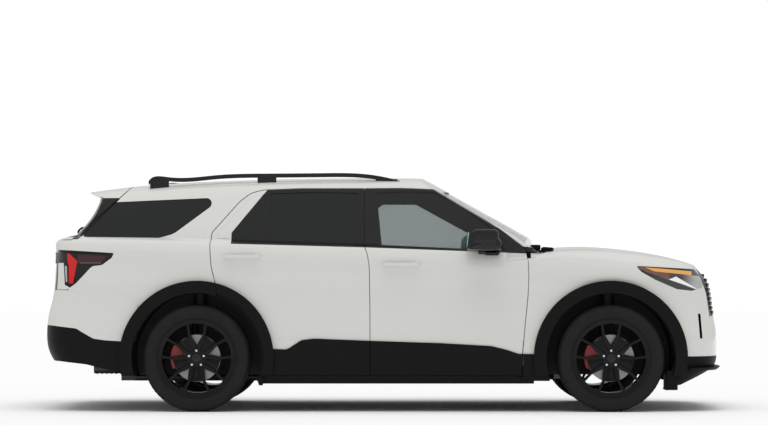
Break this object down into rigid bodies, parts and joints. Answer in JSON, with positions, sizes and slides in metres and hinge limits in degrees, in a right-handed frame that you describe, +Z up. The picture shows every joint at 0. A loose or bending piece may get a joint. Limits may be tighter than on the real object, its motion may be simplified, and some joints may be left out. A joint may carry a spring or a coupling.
{
  "type": "sport utility vehicle",
  "caption": "Five-door sport utility vehicle with three rows of seats, opening doors, hood and liftgate, steered front wheels and rolling wheels.",
  "frame": {"origin": "on the ground under the middle of the car's length and width", "axes": "+X forward, +Y to the car's left, +Z up"},
  "size_m": [5.062, 2.268, 1.7591],
  "materials": {
    "paint_white": "gloss white paint",
    "cladding_black": "grained black plastic",
    "gloss_black": "piano black",
    "glass_light": "lightly tinted glass",
    "glass_dark": "dark tinted glass",
    "lamp_front": "clear lamp lens over dark housing",
    "lamp_rear": "smoked red lamp lens",
    "wheel_black": "gloss black alloy with chrome nuts",
    "tyre": "black rubber",
    "disc_steel": "turned steel",
    "caliper_red": "red paint",
    "chassis": "dark chassis coating",
    "engine": "cast alloy",
    "exhaust_steel": "dull steel",
    "seat_fabric": "dark grey leather",
    "cabin_trim": "soft dark trim"
  },
  "bodies": {
    "body": {"arch_mouldings": "cladding_black", "cowl": "cladding_black", "dashboard": "cabin_trim", "drive_shafts": "chassis", "engine_block": "engine", "exhaust": "exhaust_steel", "front_bumper": "paint_white", "front_fenders": "paint_white", "front_seats": "seat_fabric", "front_suspension": "chassis", "front_trim": "cladding_black", "grille": "gloss_black", "headlamps": "lamp_front", "quarter_glass": "glass_dark", "rear_bumper": "paint_white", "rear_calipers": "caliper_red", "rear_seats": "seat_fabric", "rear_suspension": "chassis", "rear_trim": "cladding_black", "roof": "paint_white", "roof_rails": "gloss_black", "side_frames": "paint_white", "steering_wheel": "cabin_trim", "tail_lamps": "lamp_rear", "underbody": "chassis", "windshield": "glass_light"},
    "hood": {"hood": "paint_white"},
    "liftgate": {"liftgate": "paint_white", "liftgate_glass": "glass_dark", "liftgate_lamps": "lamp_rear"},
    "front_door_right": {"front_door_glass_right": "glass_light", "front_door_right": "paint_white", "front_door_trim_right": "cladding_black", "mirror_right": "gloss_black"},
    "rear_door_right": {"rear_door_glass_right": "glass_dark", "rear_door_right": "paint_white", "rear_door_trim_right": "cladding_black"},
    "front_steer_right": {"front_caliper_right": "caliper_red", "front_knuckle_right": "chassis"},
    "front_wheel_right": {"front_brake_disc_right": "disc_steel", "front_rim_right": "wheel_black", "front_tyre_right": "tyre"},
    "rear_wheel_right": {"rear_brake_disc_right": "disc_steel", "rear_rim_right": "wheel_black", "rear_tyre_right": "tyre"},
    "front_door_left": {"front_door_glass_left": "glass_light", "front_door_left": "paint_white", "front_door_trim_left": "cladding_black", "mirror_left": "gloss_black"},
    "rear_door_left": {"rear_door_glass_left": "glass_dark", "rear_door_left": "paint_white", "rear_door_trim_left": "cladding_black"},
    "front_steer_left": {"front_caliper_left": "caliper_red", "front_knuckle_left": "chassis"},
    "front_wheel_left": {"front_brake_disc_left": "disc_steel", "front_rim_left": "wheel_black", "front_tyre_left": "tyre"},
    "rear_wheel_left": {"rear_brake_disc_left": "disc_steel", "rear_rim_left": "wheel_black", "rear_tyre_left": "tyre"}
  },
  "joints": [
    {"name": "hood_hinge", "type": "hinge", "parent": "body", "child": "hood", "pos_m": [1.16, 0, 1.225], "axis": [0, -1, 0], "range_deg": [0, 55]},
    {"name": "liftgate_hinge", "type": "hinge", "parent": "body", "child": "liftgate", "pos_m": [-1.873, 0, 1.695], "axis": [0, 1, 0], "range_deg": [0, 80]},
    {"name": "front_door_right_hinge", "type": "hinge", "parent": "body", "child": "front_door_right", "pos_m": [1.063, -0.978, 0.75], "axis": [0, 0, 1], "range_deg": [0, 68]},
    {"name": "rear_door_right_hinge", "type": "hinge", "parent": "body", "child": "rear_door_right", "pos_m": [-0.098, -0.978, 0.75], "axis": [0, 0, 1], "range_deg": [0, 70]},
    {"name": "steer_right", "type": "hinge", "parent": "body", "child": "front_steer_right", "pos_m": [1.66, -0.82, 0.3905], "axis": [0, 0, 1], "range_deg": [-32, 32]},
    {"name": "front_wheel_right_spin", "type": "hinge", "parent": "front_steer_right", "child": "front_wheel_right", "pos_m": [1.66, -0.85, 0.3905], "axis": [0, 1, 0], "continuous": true},
    {"name": "rear_wheel_right_spin", "type": "hinge", "parent": "body", "child": "rear_wheel_right", "pos_m": [-1.365, -0.85, 0.3905], "axis": [0, 1, 0], "continuous": true},
    {"name": "front_door_left_hinge", "type": "hinge", "parent": "body", "child": "front_door_left", "pos_m": [1.063, 0.978, 0.75], "axis": [0, 0, -1], "range_deg": [0, 68]},
    {"name": "rear_door_left_hinge", "type": "hinge", "parent": "body", "child": "rear_door_left", "pos_m": [-0.098, 0.978, 0.75], "axis": [0, 0, -1], "range_deg": [0, 70]},
    {"name": "steer_left", "type": "hinge", "parent": "body", "child": "front_steer_left", "pos_m": [1.66, 0.82, 0.3905], "axis": [0, 0, 1], "range_deg": [-32, 32]},
    {"name": "front_wheel_left_spin", "type": "hinge", "parent": "front_steer_left", "child": "front_wheel_left", "pos_m": [1.66, 0.85, 0.3905], "axis": [0, 1, 0], "continuous": true},
    {"name": "rear_wheel_left_spin", "type": "hinge", "parent": "body", "child": "rear_wheel_left", "pos_m": [-1.365, 0.85, 0.3905], "axis": [0, 1, 0], "continuous": true}
  ],
  "couplings": [
    {"joint": "steer_left", "follows": "steer_right", "ratio": 1}
  ]
}
